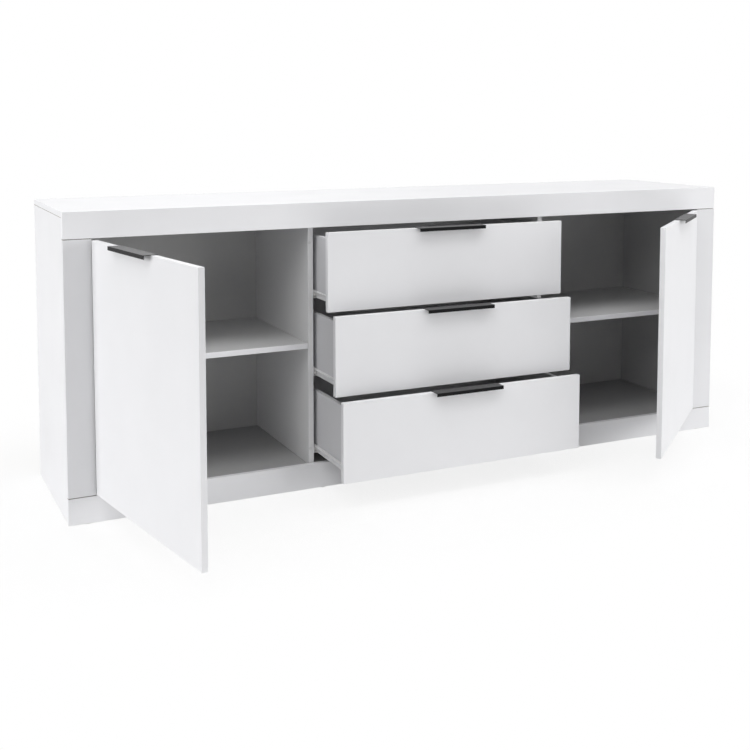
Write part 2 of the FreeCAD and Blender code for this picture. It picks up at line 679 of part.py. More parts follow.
SHELF_WIDTH = ("overall_width / 2 - board_thickness - divider_centre - board_thickness / 2 "
               "- 2 * shelf_end_gap")
block_bodies = []
for side, sign in SIDES.items():
    drilled(f"pilaster_{side}",
            board_body(f"pilaster_{side}_board", ("pilaster_width", "board_thickness",
                                                  f"{OPENING} - 2 * frame_seam")),
            (min(sign * HALF_WIDTH, sign * OPENING_SIDE_X), FRONT_Y, OPENING_BOTTOM_Z + size("frame_seam")))
    drilled(f"side_panel_{side}",
            board_body(f"side_{side}", ("board_thickness", INNER_DEPTH,
                                        "overall_height - board_thickness - glide_height")),
            (min(sign * HALF_WIDTH, sign * SIDE_INNER_X), CARCASS_FRONT_Y, size("glide_height")))
    drilled(f"divider_{side}",
            board_body(f"divider_{side}_board", ("board_thickness", DIVIDER_DEPTH,
                                                 "overall_height - board_thickness - floor_top")),
            (sign * DIVIDER_X - BOARD / 2, DIVIDER_FRONT_Y, FLOOR_TOP_Z))
    shelf = board_body(f"shelf_{side}_board", (SHELF_WIDTH, DIVIDER_DEPTH + " - 1", "board_thickness"))
    shelf_x = min(sign * (DIVIDER_OUTER_X + size("shelf_end_gap")),
                  sign * (SIDE_INNER_X - size("shelf_end_gap")))
    shelf.Placement = Placement(Vector(shelf_x, DIVIDER_FRONT_Y, SHELF_UNDERSIDE_Z), Rotation())
    keep(shelf, f"shelf_{side}")
    for height in HINGE_HEIGHTS:
        block = board_body(f"hinge_block_{side}_{round(height)}",
                           ("board_thickness", str(HINGE_BLOCK_DEPTH), str(HINGE_BLOCK_HEIGHT)))
        block.Placement = Placement(Vector(min(sign * OPENING_SIDE_X, sign * (OPENING_SIDE_X + BOARD)),
                                           CARCASS_FRONT_Y, height - HINGE_BLOCK_HEIGHT / 2), Rotation())
        block_bodies.append(block)
doc.recompute()
block_bores = [bore for bore in carcass_bores
               if any(bore.BoundBox.intersect(block.Shape.BoundBox) for block in block_bodies)]
keep(cut_from("bored_hinge_blocks", group_of("hinge_block_group", block_bodies), block_bores),
     "hinge_blocks")

# Soft bumpers on the dividers' front edges, where the doors come to rest.
BUMPER_RADIUS = 4
BUMPER_THICKNESS = 0.8
BUMPER_HEIGHTS = (110, 680)
BUMPER_EDGE_DISTANCE = 4.25
bumper = doc.addObject("Part::Cylinder", "bumper")
bumper.Radius = BUMPER_RADIUS
bumper.Height = BUMPER_THICKNESS
doc.recompute()
bumper_x = DIVIDER_OUTER_X - BUMPER_EDGE_DISTANCE
keep_copies("door_bumpers", bumper.Shape,
            [Placement(Vector(sign * bumper_x, DIVIDER_FRONT_Y, z), Rotation(Vector(1, 0, 0), 90))
             for sign in SIDES.values() for z in BUMPER_HEIGHTS])
keep_group("carcass_screws", carcass_screws)

# ---------------------------------------------------------------- handles

HANDLE_SCREW_X = 70
HANDLE_SCREW_DROP = 9
HANDLE_SCREW_LENGTH = 10
HANDLE_FOLD_RADIUS = 1


def handle_body(name, middle_x, top_z):
    """A folded black sheet over the top edge of a front: back flange, top plate and front lip."""
    reach, lip, sheet_t = size("handle_reach"), size("handle_lip"), size("handle_sheet")
    flange = size("handle_back_flange")
    back = BOARD + sheet_t
    outline = ((-reach, sheet_t), (-reach, sheet_t - lip), (-reach + sheet_t, sheet_t - lip),
               (-reach + sheet_t, 0), (BOARD, 0), (BOARD, -flange), (back, -flange), (back, sheet_t))
    body = profile_body(name, "YZ_Plane", outline, "handle_length")
    pad = body.Tip
    doc.recompute()
    outer = [f"Edge{number + 1}" for number, edge in enumerate(pad.Shape.Edges)
             if abs(edge.tangentAt(edge.FirstParameter).x) > 0.9 and edge.BoundBox.ZMin > sheet_t / 2]
    rounding = body.newObject("PartDesign::Fillet", f"{name}_folds")
    rounding.Base = (pad, outer)
    rounding.Radius = HANDLE_FOLD_RADIUS
    body.Tip = rounding
    body.Placement = Placement(Vector(middle_x - size("handle_length") / 2, FRONT_Y, top_z), Rotation())
    return body


def handle_screw_seats(middle_x, top_z):
    """Where the two handle screws stand on the back flange."""
    back_y = CARCASS_FRONT_Y + size("handle_sheet")
    return [(middle_x + offset, back_y, top_z - HANDLE_SCREW_DROP)
            for offset in (-HANDLE_SCREW_X, HANDLE_SCREW_X)]


def fitted(label, base, cuts, place):
    """Cuts tools out of a piece, moves it to its rest place and keeps it."""
    cut = cut_from(f"{label}_cut", base, cuts)
    cut.Placement = place
    return keep(cut, label)


# ---------------------------------------------------------------- doors

CUP_WALL = 1
CUP_RIM = 1.2
CUP_BORE_PLAY = 0.2
CUP_FLANGE_THICKNESS = 1
CUP_WING_HEIGHT = 56
CUP_WING_WIDTH = 15
CUP_WING_RADIUS = 6
CUP_SCREW_OFFSETS = (-22, 22)
CUP_SCREW_LENGTH = 11
LINK_WIDTH = 9
LINK_OUTLINE = ((13, 7), (24, 7), (24, 12), (22, 26), (14, 26), (13, 20))
LINK_ROUNDING = 1.5
LINK_PIN_RADIUS = 1.5
LINK_PIN_INSET = 18
LINK_PIN_DEPTH = 9.5
LINK_PIN_HALF = size("cup_radius") - 2.5


def hinge_cup(sign, z):
    """The door half of a cup hinge: a pressed steel cup with two wings, and the link pair in its mouth."""
    centre = Vector(sign * (DOOR_HINGE_X - size("cup_edge_distance")), CARCASS_FRONT_Y, z)
    mouth = centre + Vector(0, CUP_FLANGE_THICKNESS, 0)
    shell = rod(centre, (0, -1, 0), size("cup_radius"), size("cup_depth"))
    hollow = rod(mouth, (0, -1, 0), size("cup_radius") - CUP_WALL,
                 size("cup_depth") - CUP_WALL + CUP_FLANGE_THICKNESS)
    wings = Part.makeBox(CUP_WING_WIDTH, CUP_FLANGE_THICKNESS, CUP_WING_HEIGHT,
                         centre - Vector(CUP_WING_WIDTH / 2, 0, CUP_WING_HEIGHT / 2))
    wings = wings.makeFillet(CUP_WING_RADIUS, edges_along(wings, "y"))
    rim = rod(centre, (0, 1, 0), size("cup_radius") + CUP_RIM, CUP_FLANGE_THICKNESS)
    shape = shell.fuse([wings, rim]).cut(hollow)
    for offset in CUP_SCREW_OFFSETS:
        shape = shape.cut(screw_bore(mouth + Vector(0, 0, offset), (0, -1, 0)))
    points = [Vector(sign * (OPENING_SIDE_X - along), FRONT_Y + depth, z - LINK_WIDTH / 2)
              for along, depth in LINK_OUTLINE]
    link = prism(points, LINK_WIDTH)
    link = link.makeFillet(LINK_ROUNDING, edges_along(link, "z"))
    foot_pin = rod((sign * (OPENING_SIDE_X - LINK_PIN_INSET), FRONT_Y + LINK_PIN_DEPTH, z - LINK_PIN_HALF),
                   (0, 0, 1), LINK_PIN_RADIUS, 2 * LINK_PIN_HALF)
    return shape.removeSplitter(), link.fuse(foot_pin)


DOOR_LENGTHS = (
    "overall_width / 2 - pilaster_width - door_side_gap - divider_centre - front_reveal / 2",
    "board_thickness", f"{OPENING} - 2 * front_reveal")
for side, sign in SIDES.items():
    place = door_swing(side)
    handle_x = sign * (DOOR_HINGE_X - size("door_handle_middle"))
    cup_x = sign * (DOOR_HINGE_X - size("cup_edge_distance"))
    panel = board_body(f"door_{side}_board", DOOR_LENGTHS)
    panel.Placement = Placement(Vector(min(sign * DOOR_HINGE_X, sign * DOOR_FREE_X), FRONT_Y, DOOR_BOTTOM_Z),
                                Rotation())
    seats = [(cup_x, CARCASS_FRONT_Y + CUP_FLANGE_THICKNESS, z + offset)
             for z in HINGE_HEIGHTS for offset in CUP_SCREW_OFFSETS]
    screws = [screw(seat, (0, -1, 0), CUP_SCREW_LENGTH) for seat in seats]
    cuts = [screw_bore(seat, (0, -1, 0), CUP_SCREW_LENGTH) for seat in seats]
    cups = []
    for z in HINGE_HEIGHTS:
        cups += hinge_cup(sign, z)
        cuts.append(rod((cup_x, CARCASS_FRONT_Y, z), (0, -1, 0), size("cup_radius") + BORE_CLEARANCE,
                        size("cup_depth") + CUP_BORE_PLAY))
    handle_seats = handle_screw_seats(handle_x, DOOR_TOP_Z)
    handle_bores = [screw_bore(seat, (0, -1, 0), HANDLE_SCREW_LENGTH) for seat in handle_seats]
    screws += [screw(seat, (0, -1, 0), HANDLE_SCREW_LENGTH) for seat in handle_seats]
    fitted(f"door_{side}", panel, cuts + handle_bores, place)
    handle = handle_body(f"door_{side}_handle_sheet", handle_x, DOOR_TOP_Z)
    fitted(f"door_{side}_handle", handle, handle_bores, place)
    keep_group(f"door_{side}_hinge_cups", cups, place)
    keep_group(f"door_{side}_screws", screws, place)

# ---------------------------------------------------------------- drawers

GROOVE_PLAY = 0.1
JOINT_HEIGHTS = (30, 140)
BACK_SCREW_LENGTH = 28
BACK_SCREW_RECESS_PLAY = 0.1
FRONT_PIN_RADIUS = 3
FRONT_PIN_REACH = 9
FRONT_PIN_LENGTH = 28
MEMBER_WEB = (11.3, 12.5)
MEMBER_UNDER = 24.5
MEMBER_TOP = (3.5, 15.8)
MEMBER_SETBACK = 2

SIDE_THICKNESS = size("drawer_side_thickness")
SIDE_LENGTH = size("drawer_side_length")
BACK_THICKNESS = size("drawer_back_thickness")
BOX_REAR_Y = CARCASS_FRONT_Y + SIDE_LENGTH
BOX_INNER = DRAWER_BOX_HALF - SIDE_THICKNESS
GROOVE = size("drawer_groove_depth")
BACK_LIFT = size("drawer_bottom_lift") + size("drawer_bottom_thickness") + GROOVE_PLAY
PIN_X = DRAWER_BOX_HALF - SIDE_THICKNESS / 2

MEMBER_OUTLINE = (
    (MEMBER_UNDER, -SHEET), (MEMBER_WEB[0], -SHEET), (MEMBER_WEB[0], MEMBER_TOP[1]), MEMBER_TOP,
    (MEMBER_TOP[0], MEMBER_TOP[1] + SHEET), (MEMBER_WEB[1], MEMBER_TOP[1] + SHEET), (MEMBER_WEB[1], 0),
    (MEMBER_UNDER, 0))
FRONT_LENGTHS = ("2 * divider_centre - front_reveal", "board_thickness",
                 f"({OPENING} - 4 * front_reveal) / 3")
SIDE_LENGTHS = ("drawer_side_thickness", "drawer_side_length", "drawer_side_height")
BACK_LENGTHS = ("2 * (divider_centre - board_thickness / 2 - drawer_runner_gap - drawer_side_thickness)",
                "drawer_back_thickness", f"drawer_side_height - {BACK_LIFT}")

for name in DRAWERS:
    place = drawer_shift(name)
    front_z = drawer_bottom_z(name)
    side_z = drawer_side_z(name)
    panel_z = side_z + size("drawer_bottom_lift")
    front_top_z = front_z + DRAWER_FRONT_HEIGHT
    bottom_cut = Part.makeBox(2 * (BOX_INNER + GROOVE + GROOVE_PLAY), SIDE_LENGTH + 2 * GROOVE,
                              size("drawer_bottom_thickness") + 2 * GROOVE_PLAY,
                              Vector(-BOX_INNER - GROOVE - GROOVE_PLAY,
                                     CARCASS_FRONT_Y - GROOVE - GROOVE_PLAY, panel_z - GROOVE_PLAY))
    handle_seats = handle_screw_seats(0, front_top_z)
    handle_bores = [screw_bore(seat, (0, -1, 0), HANDLE_SCREW_LENGTH) for seat in handle_seats]
    screws = [screw(seat, (0, -1, 0), HANDLE_SCREW_LENGTH) for seat in handle_seats]
    pin_bores = []
    back_bores = []
    recesses = []
    for sign in SIDES.values():
        for height in JOINT_HEIGHTS:
            face = Vector(sign * DRAWER_BOX_HALF, BOX_REAR_Y - BACK_THICKNESS / 2, side_z + height)
            sunk = face - Vector(sign * SCREW_HEAD_HEIGHT, 0, 0)
            screws.append(screw(sunk, (-sign, 0, 0), BACK_SCREW_LENGTH))
            back_bores.append(screw_bore(sunk, (-sign, 0, 0), BACK_SCREW_LENGTH))
            recesses.append(rod(face, (-sign, 0, 0), SCREW_HEAD_RADIUS + BACK_SCREW_RECESS_PLAY,
                                SCREW_HEAD_HEIGHT))
            start = Vector(sign * PIN_X, CARCASS_FRONT_Y - FRONT_PIN_REACH, side_z + height)
            screws.append(rod(start, (0, 1, 0), FRONT_PIN_RADIUS, FRONT_PIN_LENGTH))
            pin_bores.append(rod(start - Vector(0, BORE_OVERRUN, 0), (0, 1, 0),
                                 FRONT_PIN_RADIUS + BORE_CLEARANCE, FRONT_PIN_LENGTH + 2 * BORE_OVERRUN))

    front = board_body(f"{name}_front_board", FRONT_LENGTHS)
    front.Placement = Placement(Vector(-DRAWER_FRONT_HALF, FRONT_Y, front_z), Rotation())
    fitted(f"drawer_{name}_front", front, [bottom_cut] + handle_bores + pin_bores, place)

    side_boards = []
    for side, sign in SIDES.items():
        board = board_body(f"{name}_side_{side}", SIDE_LENGTHS)
        board.Placement = Placement(Vector(min(sign * DRAWER_BOX_HALF, sign * BOX_INNER), CARCASS_FRONT_Y,
                                           side_z), Rotation())
        side_boards.append(board)
    fitted(f"drawer_{name}_sides", group_of(f"{name}_side_group", side_boards),
           [bottom_cut] + back_bores + recesses + pin_bores, place)

    back = board_body(f"{name}_back_board", BACK_LENGTHS)
    back.Placement = Placement(Vector(-BOX_INNER, BOX_REAR_Y - BACK_THICKNESS, side_z + BACK_LIFT),
                               Rotation())
    fitted(f"drawer_{name}_back", back, back_bores, place)

    bottom = doc.addObject("Part::Box", f"{name}_bottom_sheet")
    bottom.setExpression("Height", bound("drawer_bottom_thickness"))
    bottom.Length = 2 * (BOX_INNER + GROOVE)
    bottom.Width = SIDE_LENGTH + GROOVE
    bottom.Placement = place.multiply(Placement(
        Vector(-BOX_INNER - GROOVE, CARCASS_FRONT_Y - GROOVE, panel_z), Rotation()))
    keep(bottom, f"drawer_{name}_bottom")

    handle = handle_body(f"{name}_handle_sheet", 0, front_top_z)
    fitted(f"drawer_{name}_handle", handle, handle_bores, place)

    members = []
    rollers = []
    roller_y = BOX_REAR_Y - REAR_ROLLER_INSET
    roller_z = side_z + REAR_ROLLER_HEIGHT
    for side, sign in SIDES.items():
        member = placed_profile(f"{name}_member_{side}", MEMBER_OUTLINE, str(RUNNER_LENGTH), sign,
                                CARCASS_FRONT_Y + MEMBER_SETBACK, side_z)
        stub = axle(sign, MEMBER_WEB[0] + SHEET / 2, REAR_ROLLER_SPAN[0] - ROLLER_SIDE_PLAY, roller_y,
                    roller_z)
        members.append(joined(f"{name}_riveted_member_{side}", member, stub))
        rollers.append(roller(sign, REAR_ROLLER_SPAN, roller_y, roller_z))
    slides = group_of(f"{name}_runner_group", members)
    slides.Placement = place
    keep(slides, f"drawer_{name}_runners")
    keep_group(f"drawer_{name}_rollers", rollers, place)
    keep_group(f"drawer_{name}_screws", screws, place)

# ---------------------------------------------------------------- checks, then one STEP file per sub-part

doc.recompute()
for item in doc.Objects:
    if "Invalid" in item.State or "Error" in item.State:
        raise RuntimeError(f"{item.Label} did not build: {item.State}")
for label, piece in subparts.items():
    if piece.Shape.isNull() or not piece.Shape.isValid() or not piece.Shape.Solids:
        raise RuntimeError(f"{label} has no valid solid")

os.makedirs("parts", exist_ok=True)
for label, piece in subparts.items():
    piece.Shape.exportStep(f"parts/{label}.step")
print(len(subparts), "sub-parts,", sum(len(piece.Shape.Solids) for piece in subparts.values()), "solids")
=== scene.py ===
"""Looks for the long white sideboard: matt laminated boards, black edge handles, zinc and nylon fittings.

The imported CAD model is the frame, in metres, +X to the right along the cabinet, +Y to the back, +Z up.
"""
import json
import math

import bpy
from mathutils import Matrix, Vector


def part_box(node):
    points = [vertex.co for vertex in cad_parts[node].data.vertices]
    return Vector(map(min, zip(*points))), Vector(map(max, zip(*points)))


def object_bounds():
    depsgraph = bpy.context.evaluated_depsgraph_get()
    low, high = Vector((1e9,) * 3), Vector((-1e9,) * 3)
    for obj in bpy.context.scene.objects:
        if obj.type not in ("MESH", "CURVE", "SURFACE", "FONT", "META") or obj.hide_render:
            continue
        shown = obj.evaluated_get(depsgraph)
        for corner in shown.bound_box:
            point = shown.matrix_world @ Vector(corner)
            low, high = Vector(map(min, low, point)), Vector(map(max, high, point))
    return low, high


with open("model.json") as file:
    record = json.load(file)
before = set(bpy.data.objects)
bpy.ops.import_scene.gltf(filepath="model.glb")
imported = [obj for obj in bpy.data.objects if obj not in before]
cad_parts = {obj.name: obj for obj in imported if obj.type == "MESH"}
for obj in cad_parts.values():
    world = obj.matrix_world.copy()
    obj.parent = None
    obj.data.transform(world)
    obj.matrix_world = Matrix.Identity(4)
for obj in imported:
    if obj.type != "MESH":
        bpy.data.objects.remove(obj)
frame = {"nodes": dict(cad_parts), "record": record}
cad_low, cad_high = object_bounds()
NODES = frame["nodes"]


# ---------------------------------------------------------------- shader helpers

# a Mix node has a socket pair for each kind of value: first, second and result
MIX_SOCKETS = {"RGBA": (6, 7, 2), "FLOAT": (2, 3, 0)}


class Shader:
    """A node tree in the making: one Principled surface and the nodes that feed it."""

    def __init__(self, name):
        self.material = bpy.data.materials.new(name)
        self.material.use_nodes = True
        self.tree = self.material.node_tree
        self.surface = self.tree.nodes["Principled BSDF"]
        self.place = self.add("ShaderNodeTexCoord").outputs["Object"]

    def add(self, kind, **values):
        """A new node, with its properties and its input sockets set by name."""
        node = self.tree.nodes.new(kind)
        for key, value in values.items():
            if hasattr(node, key):
                setattr(node, key, value)
            else:
                node.inputs[key.replace("_", " ").title()].default_value = value
        return node

    def link(self, source, target):
        self.tree.links.new(source, target)

    def stretched(self, stretch):
        """Object coordinates scaled along each axis, so that a pattern runs with the board."""
        mapping = self.add("ShaderNodeMapping")
        mapping.inputs["Scale"].default_value = stretch
        self.link(self.place, mapping.inputs["Vector"])
        return mapping.outputs["Vector"]

    def noise(self, scale, detail=3.0, roughness=0.5, vector=None):
        """Soft noise from 0 to 1, scale in cycles per metre."""
        node = self.add("ShaderNodeTexNoise", scale=scale, detail=detail, roughness=roughness)
        self.link(vector or self.place, node.inputs["Vector"])
        return node.outputs["Fac"]

    def spread(self, value, low, high, start=0.3, end=0.7, curve="LINEAR"):
        """The pattern's start to end stretched over low to high."""
        node = self.add("ShaderNodeMapRange", interpolation_type=curve)
        for name, number in (("From Min", start), ("From Max", end), ("To Min", low), ("To Max", high)):
            node.inputs[name].default_value = number
        self.link(value, node.inputs["Value"])
        return node.outputs["Result"]

    def colours(self, value, dark, light, start=0.3, end=0.7):
        """A two-colour ramp driven by a pattern."""
        ramp = self.add("ShaderNodeValToRGB")
        ramp.color_ramp.elements[0].position = start
        ramp.color_ramp.elements[1].position = end
        ramp.color_ramp.elements[0].color = (*dark, 1.0)
        ramp.color_ramp.elements[1].color = (*light, 1.0)
        self.link(value, ramp.inputs["Fac"])
        return ramp.outputs["Color"]

    def bump(self, height, depth, strength=1.0, under=None):
        """Relief of the given depth in metres, over another relief if there is one."""
        node = self.add("ShaderNodeBump")
        node.inputs["Strength"].default_value = strength
        node.inputs["Distance"].default_value = depth
        self.link(height, node.inputs["Height"])
        if under is not None:
            self.link(under, node.inputs["Normal"])
        return node.outputs["Normal"]

    def facing(self, axis):
        """How squarely the face looks along an axis of the piece, from -1 to 1."""
        parts = self.add("ShaderNodeSeparateXYZ")
        self.link(self.add("ShaderNodeTexCoord").outputs["Normal"], parts.inputs["Vector"])
        return parts.outputs[axis]

    def beyond(self, axis, sign, limit):
        """1 where the coordinate times sign is over limit, else 0."""
        parts = self.add("ShaderNodeSeparateXYZ")
        self.link(self.place, parts.inputs["Vector"])
        scaled = self.add("ShaderNodeMath", operation="MULTIPLY")
        scaled.inputs[1].default_value = sign
        self.link(parts.outputs[axis], scaled.inputs[0])
        past = self.add("ShaderNodeMath", operation="GREATER_THAN")
        past.inputs[1].default_value = limit
        self.link(scaled.outputs[0], past.inputs[0])
        return past.outputs[0]

    def within(self, zones):
        """1 inside any of the zones, each a group of (axis, sign, limit) that must all hold."""
        total = None
        for zone in zones:
            share = None
            for condition in zone:
                held = self.beyond(*condition)
                share = held if share is None else self.joined("MULTIPLY", share, held)
            total = share if total is None else self.joined("MAXIMUM", total, share)
        return total

    def joined(self, operation, first, second):
        """Two values put together by a sum, a product or the like."""
        node = self.add("ShaderNodeMath", operation=operation)
        self.link(first, node.inputs[0])
        self.link(second, node.inputs[1])
        return node.outputs[0]

    def mixed(self, share, first, second, kind="RGBA"):
        """first where share is 0, second where it is 1: colours, or plain values for FLOAT."""
        first_socket, second_socket, result = MIX_SOCKETS[kind]
        node = self.add("ShaderNodeMix", data_type=kind)
        self.link(share, node.inputs[0])
        self.link(first, node.inputs[first_socket])
        self.link(second, node.inputs[second_socket])
        return node.outputs[result]

    def vector(self, operation, first, second=(0.0, 0.0, 0.0), result="Vector"):
        """Vector maths on a pattern and a fixed vector."""
        node = self.add("ShaderNodeVectorMath", operation=operation)
        self.link(first, node.inputs[0])
        node.inputs[1].default_value = second
        return node.outputs[result]

    def set(self, **values):
        """Uniform values on the surface's own sockets."""
        for key, value in values.items():
            self.surface.inputs[key.replace("_", " ")].default_value = value

    def feed(self, **sources):
        """Patterns into the surface's sockets."""
        for key, source in sources.items():
            self.link(source, self.surface.inputs[key.replace("_", " ")])


# ---------------------------------------------------------------- materials

def laminate(name, tones, gloss=0.42, shaded_inside=None, raw=None):
    """Matt melamine on chipboard: fine pearl grain over a hardly visible waviness.

    tones are the board's darkest and lightest colour, which on some boards are themselves painted light
    or shade. The inside zone, an (axis, sign, limit), gives the faces past that limit the grey inside
    colour, painted shade of the cabinet's inside. The raw zones lie hidden in joints, where the board has
    no edge band and shows its chipboard; their dark chips reach a fraction of a millimetre past the edge,
    painted shade along the seams.
    """
    s = Shader(name)
    s.set(Specular_IOR_Level=0.16)
    cloud = s.noise(6.0, 2.0)
    colour = s.colours(cloud, *tones)
    # faces past the limit take the grey inside colour: painted shade of the cabinet's inside
    if shaded_inside:
        colour = s.mixed(s.beyond(*shaded_inside), colour, s.colours(cloud, *INSIDE_SHADE))
    if raw:
        # dark chipboard on the faces hidden in joints, reaching a fraction of a millimetre past the edge:
        # raw board, and painted shade along the seams
        chips_and_seam_shade = s.colours(s.noise(700.0, 4.0), (0.10, 0.085, 0.065), (0.30, 0.26, 0.20))
        colour = s.mixed(s.within(raw), colour, chips_and_seam_shade)
    s.feed(Base_Color=colour)
    s.feed(Roughness=s.spread(s.noise(90.0), gloss - 0.03, gloss + 0.05))
    wave = s.bump(s.noise(28.0, 1.0), 0.00012, 0.35)
    pearl = s.bump(s.noise(1100.0, 2.0), 0.00004, 0.5, wave)
    s.feed(Normal=pearl)
    return s.material


def hardboard(name, bare=None):
    """White-faced hardboard sheet, a little rougher than the laminate and greyer: partly the sheet's own
    face, partly painted shade of the cabinet's inside.

    bare is (axis, sign, limit) for the sheet's unfaced side, which shows pressed brown fibre.
    """
    s = Shader(name)
    s.set(Specular_IOR_Level=0.25)
    # the white face in a grey close to the inside shade: the hardboard's own greyer face and painted
    # shade
    colour = s.colours(s.noise(9.0, 4.0), (0.58, 0.58, 0.58), (0.61, 0.61, 0.605))
    if bare:
        fibre = s.noise(420.0, 6.0, 0.7)
        patch = s.colours(s.noise(14.0, 4.0, 0.6, s.stretched((1.0, 1.0, 0.4))),
                          (0.29, 0.19, 0.11), (0.36, 0.25, 0.155))
        fleck = s.colours(fibre, (0.22, 0.135, 0.075), (0.43, 0.32, 0.21), 0.25, 0.75)
        blend = s.spread(fibre, 0.25, 0.6)
        colour = s.mixed(s.beyond(*bare), colour, s.mixed(blend, patch, fleck))
    s.feed(Base_Color=colour)
    s.feed(Roughness=s.spread(s.noise(160.0), 0.5, 0.62))
    s.feed(Normal=s.bump(s.noise(700.0, 4.0), 0.00006, 0.6))
    return s.material


def powder_coat(name):
    """Black powder coat: fine even orange peel, soft sheen, and a lighter grey on upward faces, painted
    sheen for the lights above.
    """
    s = Shader(name)
    s.set(Specular_IOR_Level=0.14)
    speck = s.noise(400.0)
    black = s.colours(speck, (0.0025, 0.0025, 0.003), (0.005, 0.005, 0.0055))
    # upward faces get a lighter grey base colour: painted sheen standing in for the reflection of the
    # lights above
    painted_sheen = s.colours(speck, (0.045, 0.045, 0.047), (0.055, 0.055, 0.057))
    s.feed(Base_Color=s.mixed(s.spread(s.facing("Z"), 0.0, 1.0, 0.3, 0.8), black, painted_sheen))
    s.feed(Roughness=s.spread(s.noise(900.0), 0.36, 0.46))
    s.feed(Normal=s.bump(s.noise(2600.0, 2.0), 0.00005, 0.45))
    return s.material


def white_epoxy(name):
    """White epoxy on pressed steel."""
    s = Shader(name)
    s.set(Specular_IOR_Level=0.5)
    s.feed(Base_Color=s.colours(s.noise(30.0), (0.76, 0.76, 0.765), (0.82, 0.82, 0.82)))
    s.feed(Roughness=s.spread(s.noise(500.0), 0.3, 0.4))
    s.feed(Normal=s.bump(s.noise(1500.0, 2.0), 0.00004, 0.4))
    return s.material


def zinc_plate(name):
    """Bright zinc with a drawn grain and slightly dulled patches."""
    s = Shader(name)
    s.set(Metallic=1.0)
    s.feed(Base_Color=s.colours(s.noise(220.0, 4.0), (0.56, 0.56, 0.58), (0.74, 0.74, 0.76)))
    s.feed(Roughness=s.spread(s.noise(350.0, 4.0), 0.24, 0.42))
    s.feed(Normal=s.bump(s.noise(1400.0, 3.0, vector=s.stretched((1.0, 1.0, 0.15))), 0.00003, 0.5))
    return s.material


def moulded(name, dark, light, roughness, depth=0.00004):
    """Moulded plastic or rubber with a fine spark-eroded skin."""
    s = Shader(name)
    s.set(Specular_IOR_Level=0.45)
    s.feed(Base_Color=s.colours(s.noise(120.0), dark, light))
    s.feed(Roughness=s.spread(s.noise(600.0), roughness - 0.05, roughness + 0.06))
    s.feed(Normal=s.bump(s.noise(2200.0, 2.0), depth, 0.5))
    return s.material


def beech_wood(name):
    """Turned beech with short dark flecks along the peg."""
    s = Shader(name)
    grain = s.noise(260.0, 4.0, vector=s.stretched((1.0, 1.0, 0.2)))
    s.feed(Base_Color=s.colours(grain, (0.52, 0.35, 0.2), (0.72, 0.54, 0.36)))
    s.feed(Roughness=s.spread(grain, 0.5, 0.7))
    s.feed(Normal=s.bump(grain, 0.0001, 0.5))
    return s.material


# the darkest and lightest colour of each board; WHITE is the laminate's own, the others are lighter or
# darker copies of it, painted light or shade as noted at each
WHITE = ((0.815, 0.816, 0.832), (0.835, 0.836, 0.852))
# a lighter copy of the white: painted light on the fascia
FASCIA_LIT = ((0.865, 0.866, 0.882), (0.885, 0.886, 0.902))
# a darker copy of the white: painted shade on the pilasters beside the open doors
PILASTER_SHADE = ((0.765, 0.766, 0.782), (0.785, 0.786, 0.802))
# a greyer copy of the white: painted shade on the dividers inside the cabinet
DIVIDER_SHADE = ((0.72, 0.72, 0.725), (0.74, 0.74, 0.74))
# a grey copy of the white: painted shade for the faces inside the cabinet
INSIDE_SHADE = ((0.56, 0.56, 0.565), (0.58, 0.58, 0.58))
# a dark grey copy of the white: painted shade for the cabinet's floor board inside the compartments
FLOOR_BOARD_SHADE = ((0.39, 0.39, 0.395), (0.41, 0.41, 0.41))
# the drawer boxes' grey foil, made darker still as painted shade inside the drawers
DRAWER_FOIL_AND_SHADE = ((0.63, 0.63, 0.645), (0.66, 0.66, 0.675))

MATERIALS = {
    "white_board": laminate("white_laminate", WHITE),
    # drawer boxes: grey foil and painted shade
    "drawer_board": laminate("drawer_foil_and_shade", DRAWER_FOIL_AND_SHADE, 0.5),
    "back_sheet": hardboard("white_hardboard"),
    "black_handle": powder_coat("black_powder_coat"),
    "white_steel": white_epoxy("white_epoxy_steel"),
    "zinc": zinc_plate("bright_zinc"),
    "nylon": moulded("natural_nylon", (0.70, 0.70, 0.68), (0.78, 0.78, 0.76), 0.4),
    "foot_plastic": moulded("black_plastic", (0.02, 0.02, 0.02), (0.03, 0.03, 0.03), 0.5),
    "bumper": moulded("clear_rubber", (0.6, 0.6, 0.6), (0.68, 0.68, 0.68), 0.3),
    "beech": beech_wood("beech"),
}
SLOT_OF = {row["node"]: row["material_slot"] for row in frame["record"]["subparts"]}

BOARD = 0.015
JOINT = 0.0006  # half the seam between two boards
EDGE_BAND = 0.0006
SKIN = 0.0002  # how far under a face its own finish reaches
opening_side_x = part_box("pilaster_right")[0].x
fascia_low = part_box("fascia_rail")[0]
plinth_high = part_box("plinth_rail")[1]
side_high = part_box("side_panel_left")[1]
side_inner = cad_high.x - BOARD + SKIN
top_under = cad_high.z - BOARD + SKIN
# zones of dark chips at the joints, a little wider than the hidden faces: raw board and painted seam
# shade
outer_ends = [("X", sign, cad_high.x - 2 * JOINT) for sign in (-1, 1)]
over_pilasters = [("X", sign, opening_side_x + JOINT) for sign in (-1, 1)]
over_sides = ("Z", 1, side_high.z - JOINT)

FINISH_OF = {name: MATERIALS[slot] for name, slot in SLOT_OF.items()}
# the hinge blocks sit inside the cabinet and get the painted inside shade
FINISH_OF["hinge_blocks"] = laminate("inside_shaded_laminate", INSIDE_SHADE)
# shelves keep a white front edge band; their faces behind it get the painted inside shade
for name in ("shelf_left", "shelf_right"):
    behind_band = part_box(name)[0].y + EDGE_BAND
    FINISH_OF[name] = laminate(name + "_laminate", WHITE, shaded_inside=("Y", 1, behind_band))
